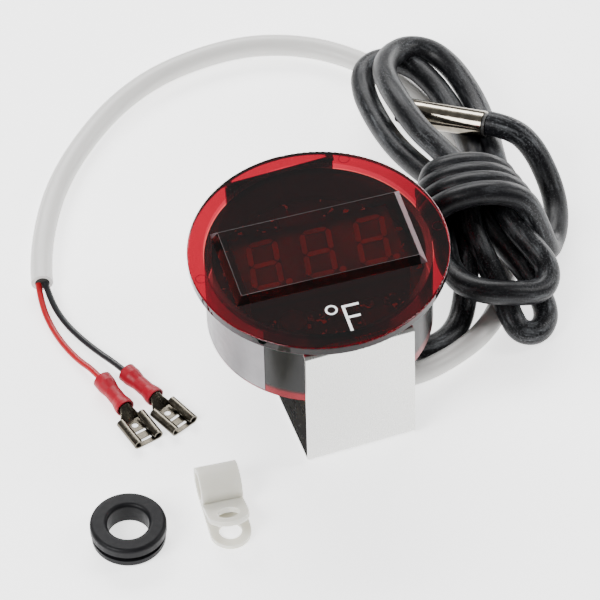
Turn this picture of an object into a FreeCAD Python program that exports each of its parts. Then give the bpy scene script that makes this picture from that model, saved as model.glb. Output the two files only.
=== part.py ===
"""Round panel thermometer: a red display head on a clamp bracket, a white supply lead that ends in
two push-on terminals, a black probe lead tied in a hank, and a loose grommet and cable clip.

Millimetres. The origin is on the floor, on the head's axis, in the underside of the bracket.
+X runs to the right along the display, +Y towards the top of its digits, +Z out of its face.
"""
import FreeCAD, Part
import math
import os
import Sketcher
from FreeCAD import Vector

# ---------------------------------------------------------------- driving sizes
SIZES = {
    # lens housing: a cup that opens downwards, with a flange and a raised window
    "flange_reach": 4.0,
    "flange_thickness": 2.4,
    "flange_round": 0.35,
    "body_radius": 26.0,
    "body_depth": 20.6,
    "housing_wall": 1.6,
    "window_length": 45.0,
    "window_width": 22.8,
    "window_rise": 1.7,
    "window_bevel": 1.5,
    "label_thickness": 0.1,
    "label_margin": 0.5,
    "label_start": 145.0,
    "label_sweep": 80.0,
    # display module
    "digit_tall": 14.2,
    "digit_wide": 7.4,
    "digit_pitch": 12.7,
    "digit_slant": 8.0,
    "stroke": 1.25,
    "stroke_gap": 0.25,
    "point_radius": 0.8,
    "segment_thickness": 0.2,
    "module_length": 37.6,
    "module_width": 19.0,
    "module_thickness": 8.0,
    "pin_side": 0.5,
    "pin_pitch": 2.54,
    "pin_rows": 15.24,
    "pin_tail": 2.0,
    # circuit board and what is on it
    "board_slip": 0.6,
    "board_thickness": 1.6,
    "chip_length": 10.3,
    "chip_width": 7.5,
    "chip_thickness": 2.6,
    "lead_reach": 1.4,
    "lead_wide": 0.4,
    "lead_pitch": 1.6,
    "lead_thickness": 0.3,
    "part_row": 15.6,
    "low_row": 17.2,
    "resistor_row": 11.6,
    "resistor_length": 2.0,
    "resistor_width": 1.25,
    "resistor_thickness": 0.5,
    "resistor_pitch": 3.6,
    "capacitor_radius": 3.15,
    "capacitor_tall": 7.7,
    "capacitor_x": -10.9,
    "regulator_length": 6.5,
    "regulator_width": 6.1,
    "regulator_thickness": 2.3,
    "regulator_x": 8.6,
    "regulator_tab": 0.9,
    "tail_radius": 0.6,
    "tail_pitch": 2.4,
    # rear cover, insert and glands
    "rear_gap": 15.2,
    "cover_thickness": 3.0,
    "rim_width": 1.6,
    "boss_radius": 5.0,
    "insert_radius": 3.0,
    "insert_clear": 2.6,
    "gland_flange": 0.9,
    "gland_lip": 0.25,
    "gland_drop": 3.0,
    "power_gland_x": 6.0,
    "power_gland_y": -13.0,
    "probe_gland_x": 10.5,
    "probe_gland_y": -3.0,
    # clamp screw, retaining washer and bracket
    "screw_radius": 2.0,
    "tip_clear": 1.0,
    "tip_bevel": 0.6,
    "head_radius": 4.0,
    "head_land": 0.3,
    "head_depth": 2.0,
    "head_recess": 0.2,
    "slot_width": 1.0,
    "slot_depth": 0.9,
    "washer_radius": 4.6,
    "washer_thickness": 0.6,
    "bracket_width": 26.0,
    "bracket_sheet": 0.8,
    "bracket_gap": 1.4,
    "bracket_bend": 1.5,
    "lip_bend": 1.2,
    "bracket_turn": 3.0,
    # cords
    "power_cord": 5.2,
    "probe_cord": 5.8,
    "wire": 1.5,
    # push-on terminals
    "sleeve_radius": 2.3,
    "sleeve_wall": 0.35,
    "sleeve_length": 10.3,
    "crimp_radius": 1.5,
    "crimp_length": 8.0,
    "neck_length": 2.4,
    "tab_length": 7.9,
    "tab_half": 3.8,
    "tab_sheet": 0.4,
    "tab_curl": 1.15,
    "tab_hole": 0.75,
    "tab_slot_wide": 0.8,
    "tab_slot_long": 3.0,
    # sensor
    "capsule_radius": 3.25,
    "capsule_wall": 0.4,
    "capsule_length": 22.0,
    "capsule_end": 1.2,
    "capsule_round": 0.35,
    "seal_inside": 14.0,
    "seal_outside": 0.8,
    "bead_radius": 1.2,
    # grommet and cable clip
    "grommet_radius": 8.75,
    "grommet_bore": 4.75,
    "grommet_groove": 6.35,
    "grommet_top": 2.4,
    "grommet_slot": 1.6,
    "grommet_foot": 2.0,
    "grommet_step": 0.3,
    "grommet_round": 0.9,
    "clip_width": 9.5,
    "clip_sheet": 1.2,
    "clip_loop": 3.2,
    "clip_reach": 16.3,
    "clip_hole": 2.6,
    "clip_open": 25.0,
    "clip_slit": 0.15,
    # hank of probe cord
    "hank_half_wide": 14.2,
    "hank_half_tall": 11.0,
    "hank_waist": 25.0,
    "hank_loop_tall": 6.4,
    "hank_bight_tall": 9.8,
    "hank_lift": 0.6,
    # running clearances
    "slip": 0.1,
    "thread_slip": 0.05,
    "seat_slip": 0.15,
    "lip_slip": 0.3,
    "display_slip": 0.2,
    "wall_slip": 0.4,
}

# ---------------------------------------------------------------- places that are chosen, not sized
GROMMET_AT = (-56.6, -38.1)
CLIP_AT = (-34.4, -48.2)
CLIP_TURN = -2.5
RED_END_AT = (-50.55, 7.3)
RED_END_TURN = -74.0
BLACK_END_AT = (-44.6, 7.8)
BLACK_END_TURN = -64.7
SENSOR_MOUTH = Vector(54.7, 46.3, 14.4)
SENSOR_TIP = Vector(37.2, 59.2, 11.8)
HANK_WAIST_AT = (47.0, 11.5)
LOW_BIGHT_AT = (48.8, -6.6)
LOW_LEG_AT = (54.6, 66.0)
LOOP_OUTLINE = [
    (36.5, 32.0), (33.0, 45.0), (29.4, 62.0), (29.6, 74.0), (34.5, 80.5), (45.0, 82.6),
    (53.0, 79.5), (57.2, 71.5), (58.4, 58.0), (57.0, 44.0), (56.0, 32.0), (46.0, 28.0),
]
BIGHT_OUTLINE = [
    (34.5, 15.0), (32.8, 8.0), (33.4, 1.5), (37.5, -4.2), (43.0, -8.6), (50.0, -9.2),
    (56.5, -4.6), (60.2, 0.5), (60.3, 8.0), (58.0, 15.0), (46.0, 19.0),
]

# The cords' routes between their two ends; each run is straight and each turn is an arc.
POWER_ROUTE = [
    (6.6, -13.3, 8.8), (10.6, -14.4, 5.8), (16.2, -14.7, 4.9),
    (22.4, -13.2, 3.9), (29.2, -9.9, 2.7), (36.5, -6.2, 2.6), (43.4, 0.4, 2.6),
    (48.6, 11.5, 2.6), (51.5, 26.0, 2.6), (51.2, 40.5, 2.6), (48.6, 55.0, 2.6),
    (44.5, 70.5, 2.6), (36.5, 84.5, 2.6), (23.0, 95.3, 2.6), (5.0, 99.6, 2.6),
    (-20.0, 94.0, 2.6), (-42.5, 73.5, 2.6), (-54.3, 50.5, 2.6), (-56.3, 39.7, 2.6),
]
RED_ROUTE = [
    (-57.2, 39.9, 2.4), (-57.9, 34.6, 1.5), (-57.5, 28.0, 0.8), (-56.2, 21.6, 0.8),
    (-54.0, 15.6, 0.9), (-51.6, 10.7, 2.0),
]
BLACK_ROUTE = [
    (-55.6, 39.5, 2.6), (-55.6, 34.3, 1.7), (-54.2, 28.2, 0.8), (-51.9, 22.4, 0.8),
    (-49.0, 16.8, 0.9), (-46.2, 11.2, 2.0),
]
PROBE_ROUTE = [
    (11.4, -3.6, 8.6), (15.2, -5.6, 5.6), (20.2, -6.6, 4.6),
    (25.4, -4.8, 3.7), (30.4, 0.4, 3.1), (34.3, 5.6, 5.0), (37.0, 9.6, 8.6),
]
TAIL_ROUTE = [
    (57.2, 10.4, 7.8), (60.0, 14.4, 4.4), (63.6, 20.4, 3.1), (65.7, 27.2, 3.3),
    (65.8, 33.8, 5.8), (63.8, 39.2, 10.8), (59.9, 43.0, 14.5),
]

# ---------------------------------------------------------------- document, sheet and expressions
doc = FreeCAD.newDocument("PanelThermometer")
sheet = doc.addObject("Spreadsheet::Sheet", "Sizes")
for row, (alias, value) in enumerate(SIZES.items(), start=1):
    sheet.set(f"A{row}", alias)
    sheet.set(f"B{row}", str(value))
    sheet.setAlias(f"B{row}", alias)
doc.recompute()


class Size:
    """A length with the sheet expression that gives it."""

    def __init__(self, text, value):
        self.text = text
        self.value = value

    def __add__(self, other):
        other = lift(other)
        return Size(f"({self.text} + {other.text})", self.value + other.value)

    def __sub__(self, other):
        other = lift(other)
        return Size(f"({self.text} - {other.text})", self.value - other.value)

    def __mul__(self, factor):
        return Size(f"({self.text} * {factor})", self.value * factor)

    def __truediv__(self, factor):
        return Size(f"({self.text} / {factor})", self.value / factor)


def lift(number):
    """A plain number as a Size; a Size as it is."""
    return number if isinstance(number, Size) else Size(f"{number:.6f}", float(number))


def size(alias):
    return Size(f"Sizes.{alias}", float(sheet.get(alias)))


def mm(alias):
    """The plain number that the sheet holds, for shapes made directly."""
    return float(sheet.get(alias))


def bind(item, prop, amount):
    item.setExpression(prop, lift(amount).text)


# ---------------------------------------------------------------- levels that several pieces share
SHEET_TOP = size("bracket_sheet")
REAR = SHEET_TOP + size("rear_gap")
FLANGE_UNDER = REAR + size("body_depth")
FACE = FLANGE_UNDER + size("flange_thickness")
SEGMENT_TOP = FLANGE_UNDER - size("display_slip")
MODULE_TOP = SEGMENT_TOP - size("segment_thickness")
BOARD_TOP = MODULE_TOP - size("module_thickness")
BOARD_UNDER = BOARD_TOP - size("board_thickness")
INNER_RADIUS = size("body_radius") - size("housing_wall")
COVER_RADIUS = INNER_RADIUS - size("slip")
COVER_TOP = REAR + size("cover_thickness")
GLAND_MOUTH = REAR - size("gland_drop")
LIP_TOP = FLANGE_UNDER - size("lip_slip")
HEAD_SEAT = size("head_recess") + size("head_land")
DIMPLE_TOP = HEAD_SEAT + size("head_depth") + size("bracket_sheet")
INSERT_TOP = BOARD_UNDER - size("insert_clear")
SCREW_TIP = INSERT_TOP - size("tip_clear")
FLANGE_RADIUS = size("body_radius") + size("flange_reach")
THREAD_BORE = size("screw_radius") + size("thread_slip")
PIN_COUNT = 6
RESISTOR_COUNT = 8

made = []


def keep(item, label):
    """Give a finished sub-part its label and list it for the hand-out."""
    item.Label = label
    made.append(item)
    return item


# ---------------------------------------------------------------- sketch and body helpers
def new_body(label):
    return keep(doc.addObject("PartDesign::Body", label), label)


def sketch_on(body, name, plane, offset=0.0):
    """A sketch on one of the body's own origin planes, moved along that plane's normal."""
    support = next(f for f in body.Origin.OriginFeatures if f.Role == plane)
    sketch = body.newObject("Sketcher::SketchObject", name)
    sketch.AttachmentSupport = [(support, "")]
    sketch.MapMode = "FlatFace"
    bind(sketch, "AttachmentOffset.Base.z", offset)
    return sketch


def hold(sketch, kind, geometry, corner, amount):
    """Hold one coordinate of a sketch point at a size."""
    amount = lift(amount)
    index = sketch.addConstraint(
        Sketcher.Constraint(kind, -1, 1, geometry, corner, amount.value))
    sketch.setExpression(f"Constraints[{index}]", amount.text)


def outline(sketch, corners):
    """A closed outline whose corners are pairs of sizes."""
    corners = [(lift(x), lift(y)) for x, y in corners]
    spots = [Vector(x.value, y.value, 0) for x, y in corners]
    first = sketch.GeometryCount
    count = len(spots)
    for i in range(count):
        sketch.addGeometry(Part.LineSegment(spots[i], spots[(i + 1) % count]), False)
    for i in range(count):
        following = first + (i + 1) % count
        sketch.addConstraint(Sketcher.Constraint("Coincident", first + i, 2, following, 1))
    for i, (x, y) in enumerate(corners):
        hold(sketch, "DistanceX", first + i, 1, x)
        hold(sketch, "DistanceY", first + i, 1, y)


def rectangle(sketch, length, width, x=0.0, y=0.0):
    length, width, x, y = lift(length), lift(width), lift(x), lift(y)
    left, right = x - length / 2, x + length / 2
    low, high = y - width / 2, y + width / 2
    outline(sketch, [(left, low), (right, low), (right, high), (left, high)])


def circle(sketch, radius, x=0.0, y=0.0):
    radius, x, y = lift(radius), lift(x), lift(y)
    spot = Vector(x.value, y.value, 0)
    ring = sketch.addGeometry(Part.Circle(spot, Vector(0, 0, 1), radius.value), False)
    index = sketch.addConstraint(Sketcher.Constraint("Radius", ring, radius.value))
    sketch.setExpression(f"Constraints[{index}]", radius.text)
    hold(sketch, "DistanceX", ring, 3, x)
    hold(sketch, "DistanceY", ring, 3, y)


def turn(body, name, profile):
    """Revolve a profile of (radius, height) corners about the body's Z axis."""
    sketch = sketch_on(body, f"{name}_profile", "XZ_Plane")
    outline(sketch, profile)
    feature = body.newObject("PartDesign::Revolution", name)
    feature.Profile = sketch
    feature.ReferenceAxis = (sketch, ["V_Axis"])
    feature.Angle = 360.0
    return feature


def pad(body, name, sketch, length):
    feature = body.newObject("PartDesign::Pad", name)
    feature.Profile = sketch
    bind(feature, "Length", length)
    return feature


def cut_up(body, name, sketch, depth):
    """Pocket from a low sketch upwards; a pocket that takes nothing away is an error."""
    doc.recompute()
    before = body.Shape.Volume
    feature = body.newObject("PartDesign::Pocket", name)
    feature.Profile = sketch
    feature.Reversed = True
    bind(feature, "Length", depth)
    doc.recompute()
    if body.Shape.Volume > before - 1e-3:
        raise RuntimeError(f"{name} cuts nothing")
    return feature


def edges_where(shape, test):
    return [f"Edge{i}" for i, edge in enumerate(shape.Edges, start=1) if test(edge)]


def round_edges(body, name, radius, test):
    doc.recompute()
    base = body.Tip
    feature = body.newObject("PartDesign::Fillet", name)
    feature.Base = (base, edges_where(base.Shape, test))
    bind(feature, "Radius", radius)
    return feature


def is_circle(edge, radius):
    curve = edge.Curve
    return isinstance(curve, Part.Circle) and abs(curve.Radius - lift(radius).value) < 1e-6


# ---------------------------------------------------------------- primitive helpers
def place(item, x, y, z):
    for axis, amount in zip("xyz", (x, y, z)):
        bind(item, f"Placement.Base.{axis}", amount)
    return item


def block(name, length, width, height, x, y, z):
    """A box centred on x and y that stands on z."""
    item = doc.addObject("Part::Box", name)
    bind(item, "Length", length)
    bind(item, "Width", width)
    bind(item, "Height", height)
    return place(item, lift(x) - lift(length) / 2, lift(y) - lift(width) / 2, z)


def rod(name, radius, height, x, y, z):
    item = doc.addObject("Part::Cylinder", name)
    bind(item, "Radius", radius)
    bind(item, "Height", height)
    return place(item, x, y, z)


def cone(name, low, high, height, z):
    item = doc.addObject("Part::Cone", name)
    bind(item, "Radius1", low)
    bind(item, "Radius2", high)
    bind(item, "Height", height)
    return place(item, 0.0, 0.0, z)


def fused(name, pieces):
    item = doc.addObject("Part::MultiFuse", name)
    item.Shapes = pieces
    return item


def less(name, base, tool):
    item = doc.addObject("Part::Cut", name)
    item.Base = base
    item.Tool = tool
    return item


def group(name, pieces):
    """Separate solids that share one node."""
    item = doc.addObject("Part::Compound", name)
    item.Links = pieces
    return item


def solid_part(name, shape):
    item = doc.addObject("Part::Feature", name)
    item.Shape = shape
    return keep(item, name)


# ---------------------------------------------------------------- head
def make_lens_housing():
    body = new_body("lens_housing")
    turn(body, "cup", [
        (INNER_RADIUS, REAR), (size("body_radius"), REAR), (size("body_radius"), FLANGE_UNDER),
        (FLANGE_RADIUS, FLANGE_UNDER), (FLANGE_RADIUS, FACE), (0.0, FACE),
        (0.0, FLANGE_UNDER), (INNER_RADIUS, FLANGE_UNDER)])
    round_edges(body, "flange_edges", size("flange_round"),
                lambda edge: is_circle(edge, FLANGE_RADIUS))
    foot = sketch_on(body, "window_foot", "XY_Plane", FACE)
    rectangle(foot, size("window_length"), size("window_width"))
    crown = sketch_on(body, "window_crown", "XY_Plane", FACE + size("window_rise"))
    rectangle(crown, size("window_length") - size("window_bevel") * 2,
              size("window_width") - size("window_bevel") * 2)
    window = body.newObject("PartDesign::AdditiveLoft", "window")
    window.Profile = foot
    window.Sections = [crown]
    window.Ruled = True


def make_side_label():
    inner = mm("body_radius")
    outer = inner + mm("label_thickness")
    low = REAR.value + mm("label_margin")
    tall = FLANGE_UNDER.value - mm("label_margin") - low
    up = Vector(0, 0, 1)
    start = mm("label_start")
    sector = Part.makeCylinder(outer, tall, Vector(0, 0, low), up, mm("label_sweep"))
    core = Part.makeCylinder(inner, tall, Vector(0, 0, low), up)
    label = sector.cut(core)
    label.rotate(Vector(0, 0, 0), up, start)
    solid_part("side_label", label)


def stroke_face(ends, across):
    """A six-sided display segment between two points, pointed at both ends."""
    first, last = ends
    along = (last - first).normalize()
    side = Vector(-along.y, along.x, 0) * (across / 2)
    nose = along * (across / 2)
    spots = [first, first + nose + side, last - nose + side,
             last, last - nose - side, first + nose - side]
    return Part.Face(Part.makePolygon(spots + [spots[0]]))


def digit_faces():
    """Seven segments and a point about the digit's centre, upright."""
    half_w = (mm("digit_wide") - mm("stroke")) / 2
    half_t = (mm("digit_tall") - mm("stroke")) / 2
    gap = mm("stroke_gap")
    corner = {(i, j): Vector(i * half_w, j * half_t, 0) for i in (-1, 1) for j in (-1, 0, 1)}
    pairs = [((-1, j), (1, j)) for j in (-1, 0, 1)]
    pairs += [((i, j), (i, j + 1)) for i in (-1, 1) for j in (-1, 0)]
    faces = []
    for a, b in pairs:
        first, last = corner[a], corner[b]
        inset = (last - first).normalize() * gap
        faces.append(stroke_face((first + inset, last - inset), mm("stroke")))
    point = Vector(half_w + mm("stroke") * 1.4, -half_t, 0)
    ring = Part.Wire(Part.Circle(point, Vector(0, 0, 1), mm("point_radius")).toShape())
    faces.append(Part.Face(ring))
    return faces


def make_display():
    keep(block("module", size("module_length"), size("module_width"), size("module_thickness"),
               0.0, 0.0, BOARD_TOP), "display_body")
    slant = FreeCAD.Matrix()
    slant.A12 = math.tan(math.radians(mm("digit_slant")))
    solids = []
    for place_index in (-1, 0, 1):
        shift = Vector(place_index * mm("digit_pitch"), 0, MODULE_TOP.value)
        for face in digit_faces():
            leaning = face.transformGeometry(slant)
            leaning.translate(shift)
            solids.append(leaning.extrude(Vector(0, 0, mm("segment_thickness"))))
    solid_part("display_segments", Part.makeCompound(solids))
    tall = size("pin_tail") + size("board_thickness")
    pins = []
    for side in (-0.5, 0.5):
        for i in range(PIN_COUNT):
            x = size("pin_pitch") * (i - (PIN_COUNT - 1) / 2)
            pins.append(block(f"pin_{len(pins)}", size("pin_side"), size("pin_side"), tall,
                              x, size("pin_rows") * side, BOARD_TOP - tall))
    keep(group("pins", pins), "display_pins")


def make_circuit_board():
    body = new_body("circuit_board")
    disc = sketch_on(body, "board_outline", "XY_Plane", BOARD_UNDER)
    circle(disc, INNER_RADIUS - size("board_slip"))
    pad(body, "board_disc", disc, size("board_thickness"))
    holes = sketch_on(body, "pin_holes", "XY_Plane", BOARD_UNDER)
    for side in (-0.5, 0.5):
        for i in range(PIN_COUNT):
            circle(holes, size("pin_side") / 2 * 1.414214 + size("slip"),
                   size("pin_pitch") * (i - (PIN_COUNT - 1) / 2), size("pin_rows") * side)
    cut_up(body, "pin_hole_row", holes, size("board_thickness"))


def make_board_parts():
    """The chip above the display and the small parts below it, all on the board's top."""
    row = size("part_row")
    chip = [block("chip_case", size("chip_length"), size("chip_width"), size("chip_thickness"),
                  0.0, row, BOARD_TOP)]
    reach = size("chip_width") + size("lead_reach") * 2
    for i in range(PIN_COUNT):
        chip.append(block(f"chip_leg_{i}", size("lead_wide"), reach, size("lead_thickness"),
                          size("lead_pitch") * (i - (PIN_COUNT - 1) / 2), row, BOARD_TOP))
    keep(fused("chip", chip), "microcontroller")
    resistors = []
    for i in range(RESISTOR_COUNT):
        x = size("resistor_pitch") * (i - (RESISTOR_COUNT - 1) / 2)
        resistors.append(block(f"resistor_{i}", size("resistor_width"), size("resistor_length"),
                               size("resistor_thickness"), x, size("resistor_row") * -1,
                               BOARD_TOP))
    keep(group("resistors", resistors), "chip_resistors")
    low = size("low_row") * -1
    can = rod("can", size("capacitor_radius"), size("capacitor_tall"), size("capacitor_x"), low,
              BOARD_TOP)
    keep(can, "filter_capacitor")
    case = block("regulator_case", size("regulator_length"), size("regulator_width"),
                 size("regulator_thickness"), size("regulator_x"), low, BOARD_TOP)
    tab = block("regulator_tab", size("regulator_length") - size("regulator_tab"),
                size("regulator_width") + size("regulator_tab") * 2, size("lead_thickness"),
                size("regulator_x"), low, BOARD_TOP)
    keep(fused("regulator", [case, tab]), "voltage_regulator")


def make_rear_cover():
    body = new_body("rear_cover")
    rim = COVER_RADIUS - size("rim_width")
    turn(body, "disc", [
        (size("insert_radius"), REAR), (COVER_RADIUS, REAR), (COVER_RADIUS, BOARD_UNDER),
        (rim, BOARD_UNDER), (rim, COVER_TOP), (size("boss_radius"), COVER_TOP),
        (size("boss_radius"), INSERT_TOP), (size("insert_radius"), INSERT_TOP)])
    holes = sketch_on(body, "gland_holes", "XY_Plane", REAR)
    for cord in ("power", "probe"):
        circle(holes, gland_radius(cord) + size("slip"),
               size(f"{cord}_gland_x"), size(f"{cord}_gland_y"))
    cut_up(body, "gland_hole_pair", holes, size("cover_thickness"))


def gland_radius(cord):
    return size(f"{cord}_cord") / 2 + size("gland_flange")


def make_gland(cord):
    """A moulded collar bonded to the cord: straight in the cover, tapered below it."""
    body = new_body(f"{cord}_gland")
    neck = gland_radius(cord)
    turn(body, f"{cord}_collar", [
        (0.0, GLAND_MOUTH), (size(f"{cord}_cord") / 2 + size("gland_lip"), GLAND_MOUTH),
        (neck, REAR), (neck, COVER_TOP), (0.0, COVER_TOP)])
    place(body, size(f"{cord}_gland_x"), size(f"{cord}_gland_y"), 0.0)


def make_solder_tails():
    """Two bare ends from each gland up to the board's underside."""
    tails = []
    for cord in ("power", "probe"):
        for side in (-0.5, 0.5):
            tails.append(rod(f"{cord}_tail_{len(tails)}", size("tail_radius"),
                             BOARD_UNDER - COVER_TOP,
                             size(f"{cord}_gland_x") + size("tail_pitch") * side,
                             size(f"{cord}_gland_y"), COVER_TOP))
    keep(group("tails", tails), "solder_tails")


# ---------------------------------------------------------------- clamp
def make_clamp():
    insert = new_body("threaded_insert")
    turn(insert, "insert_ring", [
        (THREAD_BORE, REAR), (size("insert_radius"), REAR), (size("insert_radius"), INSERT_TOP),
        (THREAD_BORE, INSERT_TOP)])
    washer = new_body("retaining_washer")
    low = DIMPLE_TOP + size("seat_slip")
    high = low + size("washer_thickness")
    turn(washer, "washer_ring", [
        (THREAD_BORE, low), (size("washer_radius"), low), (size("washer_radius"), high),
        (THREAD_BORE, high)])
    screw = new_body("clamp_screw")
    bevel = size("tip_bevel")
    turn(screw, "shank_and_head", [
        (0.0, size("head_recess")), (size("head_radius"), size("head_recess")),
        (size("head_radius"), HEAD_SEAT), (size("screw_radius"), HEAD_SEAT + size("head_depth")),
        (size("screw_radius"), SCREW_TIP - bevel), (size("screw_radius") - bevel, SCREW_TIP),
        (0.0, SCREW_TIP)])
    slot = sketch_on(screw, "driver_slot", "XY_Plane", size("head_recess"))
    rectangle(slot, size("head_radius") * 2.2, size("slot_width"))
    cut_up(screw, "driver_slot_cut", slot, size("slot_depth"))


def make_bracket():
    """A strip bent to a U, its lips turned in under the flange, its base dimpled for the screw."""
    inside_half = size("body_radius") + size("bracket_gap")
    across = (inside_half + size("bracket_sheet")) * 2
    outside = block("strip_outside", size("bracket_width"), across, LIP_TOP, 0.0, 0.0, 0.0)
    inside = block("strip_inside", size("bracket_width"), inside_half * 2, LIP_TOP - size("bracket_sheet") * 2, 0.0, 0.0, size("bracket_sheet"))
    doc.recompute()
    bends = []
    trims = (("outside", outside, 0.0), ("inside", inside, mm("bracket_sheet")))
    for name, item, sheet_in in trims:
        item_bends = doc.addObject("Part::Fillet", f"strip_{name}_bends")
        item_bends.Base = item
        middle = item.Shape.BoundBox.Center.z
        radii = []
        for i, edge in enumerate(item.Shape.Edges, start=1):
            ends = edge.Vertexes
            if abs(ends[0].X - ends[1].X) < 1.0:
                continue
            low = edge.CenterOfMass.z < middle
            bend = mm("bracket_bend") if low else mm("lip_bend")
            radii.append((i, bend - sheet_in, bend - sheet_in))
        item_bends.Edges = radii
        bends.append(item_bends)
    shell = less("strip_shell", bends[0], bends[1])
    mouth = block("strip_mouth", size("bracket_width") + 2.0,
                  (size("body_radius") + size("label_thickness") + size("wall_slip")) * 2,
                  size("bracket_sheet") * 3, 0.0, 0.0, LIP_TOP - size("bracket_sheet") * 2)
    strip = less("strip", shell, mouth)
    collar = size("screw_radius") + size("seat_slip") * 2
    wide = size("head_radius") + size("seat_slip") * 2
    slope = HEAD_SEAT + size("head_depth")
    boss = cone("dimple_outside", wide + size("bracket_sheet") * 1.4,
                collar + size("bracket_sheet"), DIMPLE_TOP, 0.0)
    raised = fused("strip_dimpled", [strip, boss])
    seat = cone("dimple_inside", wide + size("seat_slip"), collar, slope, 0.0)
    bore = rod("dimple_bore", collar, DIMPLE_TOP + 2.0, 0.0, 0.0, -1.0)
    bracket = less("bracket", raised, fused("dimple_space", [seat, bore]))
    bind(bracket, "Placement.Rotation.Angle", size("bracket_turn"))
    keep(bracket, "mounting_bracket")


# ---------------------------------------------------------------- cords
def cord_path(name, points):
    """Straight runs joined by arcs, each as large as its two runs allow."""
    spots = [Vector(*p) for p in points]
    edges = []
    radii = []
    start = spots[0]
    for before, corner, after in zip(spots, spots[1:], spots[2:]):
        into, out = corner - before, after - corner
        turn_angle = into.getAngle(out)
        back = 0.45 * min(into.Length, out.Length)
        radius = back / math.tan(turn_angle / 2)
        into.normalize()
        out.normalize()
        first = corner - into * back
        last = corner + out * back
        inward = (out - into).normalize()
        middle = corner + inward * (radius / math.cos(turn_angle / 2) - radius)
        edges.append(Part.LineSegment(start, first).toShape())
        edges.append(Part.Arc(first, middle, last).toShape())
        radii.append(radius)
        start = last
    edges.append(Part.LineSegment(start, spots[-1]).toShape())
    print(f"{name}: length {sum(e.Length for e in edges):.1f}, radii "
          + " ".join(f"{r:.0f}" for r in radii))
    return Part.Wire(edges)


def cord_exit(cord):
    """The middle of a gland's mouth."""
    return (mm(f"{cord}_gland_x"), mm(f"{cord}_gland_y"), GLAND_MOUTH.value)


def cord_tube(name, points, diameter):
    path = cord_path(name, points)
    start = Vector(*points[0])
    along = Vector(*points[1]) - start
    section = Part.Wire(Part.Circle(start, along, diameter / 2).toShape())
    tube = path.makePipeShell([section], True, False)
    wanted = math.pi * diameter ** 2 / 4 * path.Length
    if abs(tube.Volume / wanted - 1) > 0.02:
        raise RuntimeError(f"{name}: volume {tube.Volume:.1f}, wanted {wanted:.1f}")
    solid_part(name, tube)


def smooth_slab(spots, low, high):
    """A slab whose outline is one smooth closed curve through the spots."""
    curve = Part.BSplineCurve()
    curve.interpolate([Vector(x, y, low) for x, y in spots], PeriodicFlag=True)
    return Part.Face(Part.Wire(curve.toShape())).extrude(Vector(0, 0, high - low))


def make_probe_hank():
    """The outer shape of the knotted hank: a wrapped waist with loops at both ends."""
    over = mm("power_cord") + mm("hank_lift")
    wide, tall, long = mm("hank_half_wide"), mm("hank_half_tall"), mm("hank_waist")
    ellipse = Part.Ellipse(Vector(0, 0, 0), wide, tall)
    ring = Part.Wire(ellipse.toShape())
    ring.rotate(Vector(0, 0, 0), Vector(1, 0, 0), 90)
    ring.translate(Vector(*HANK_WAIST_AT, over + tall - 0.3))
    waist = Part.Face(ring).extrude(Vector(0, long, 0))
    loops = smooth_slab(LOOP_OUTLINE, over, over + mm("hank_loop_tall"))
    bights = smooth_slab(BIGHT_OUTLINE, over, over + mm("hank_bight_tall"))
    low_bight = Part.makeCylinder(5.3, over + 1.0, Vector(*LOW_BIGHT_AT, 0))
    low_leg = Part.makeCylinder(mm("probe_cord") / 2, over + 1.0, Vector(*LOW_LEG_AT, 0))
    solid = waist.fuse([loops, bights, low_bight, low_leg])
    along = (SENSOR_MOUTH - SENSOR_TIP).normalize()
    long_room = (SENSOR_MOUTH - SENSOR_TIP).Length + 4.0
    room = Part.makeCylinder(mm("capsule_radius") + mm("wall_slip"), long_room,
                             SENSOR_TIP - along * 2.0, along)
    solid_part("probe_hank", solid.cut(room).removeSplitter())


def make_cords():
    cord_tube("power_cable", [cord_exit("power"), *POWER_ROUTE], mm("power_cord"))
    red_end = crimp_back(RED_END_AT, RED_END_TURN)
    cord_tube("red_wire", [*RED_ROUTE, red_end], mm("wire"))
    black_end = crimp_back(BLACK_END_AT, BLACK_END_TURN)
    cord_tube("black_wire", [*BLACK_ROUTE, black_end], mm("wire"))
    cord_tube("probe_lead", [cord_exit("probe"), *PROBE_ROUTE], mm("probe_cord"))
    cord_tube("probe_tail", [*TAIL_ROUTE, tuple(SENSOR_MOUTH)], mm("probe_cord"))
    make_probe_hank()


# ---------------------------------------------------------------- terminals
def curled_tab():
    """A flat tab receptacle along +X: a floor plate whose sides roll up and over."""
    thick = mm("tab_sheet")
    outer = mm("tab_curl")
    inner = outer - thick
    edge_y = mm("tab_half") - outer
    long = mm("tab_length")
    along = Vector(1, 0, 0)
    plate = Part.makeBox(long, 2 * edge_y, thick, Vector(0, -edge_y, 0))
    rolls = []
    for side in (-1, 1):
        at = Vector(0, side * edge_y, outer)
        pipe = Part.makeCylinder(outer, long, at, along).cut(
            Part.makeCylinder(inner, long, at, along))
        gap_y = at.y - (outer if side > 0 else 0)
        gap = Part.makeBox(long, outer, outer, Vector(0, gap_y, 0))
        rolls.append(pipe.cut(gap))
    tab = plate.fuse(rolls)
    holes = [Part.makeCylinder(mm("tab_hole"), 4 * thick, Vector(long * 0.22, 0, -thick))]
    for x in (long * 0.44, long * 0.76):
        holes.append(Part.makeBox(mm("tab_slot_wide"), mm("tab_slot_long"), 4 * thick,
                                  Vector(x, -mm("tab_slot_long") / 2, -thick)))
    return tab.cut(holes)


def crimp_back(at, angle):
    """Where a wire meets the back of its terminal's crimp barrel."""
    inside = mm("sleeve_length") - mm("crimp_length")
    turned = math.radians(angle)
    return (at[0] + inside * math.cos(turned), at[1] + inside * math.sin(turned),
            mm("sleeve_radius"))


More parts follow.
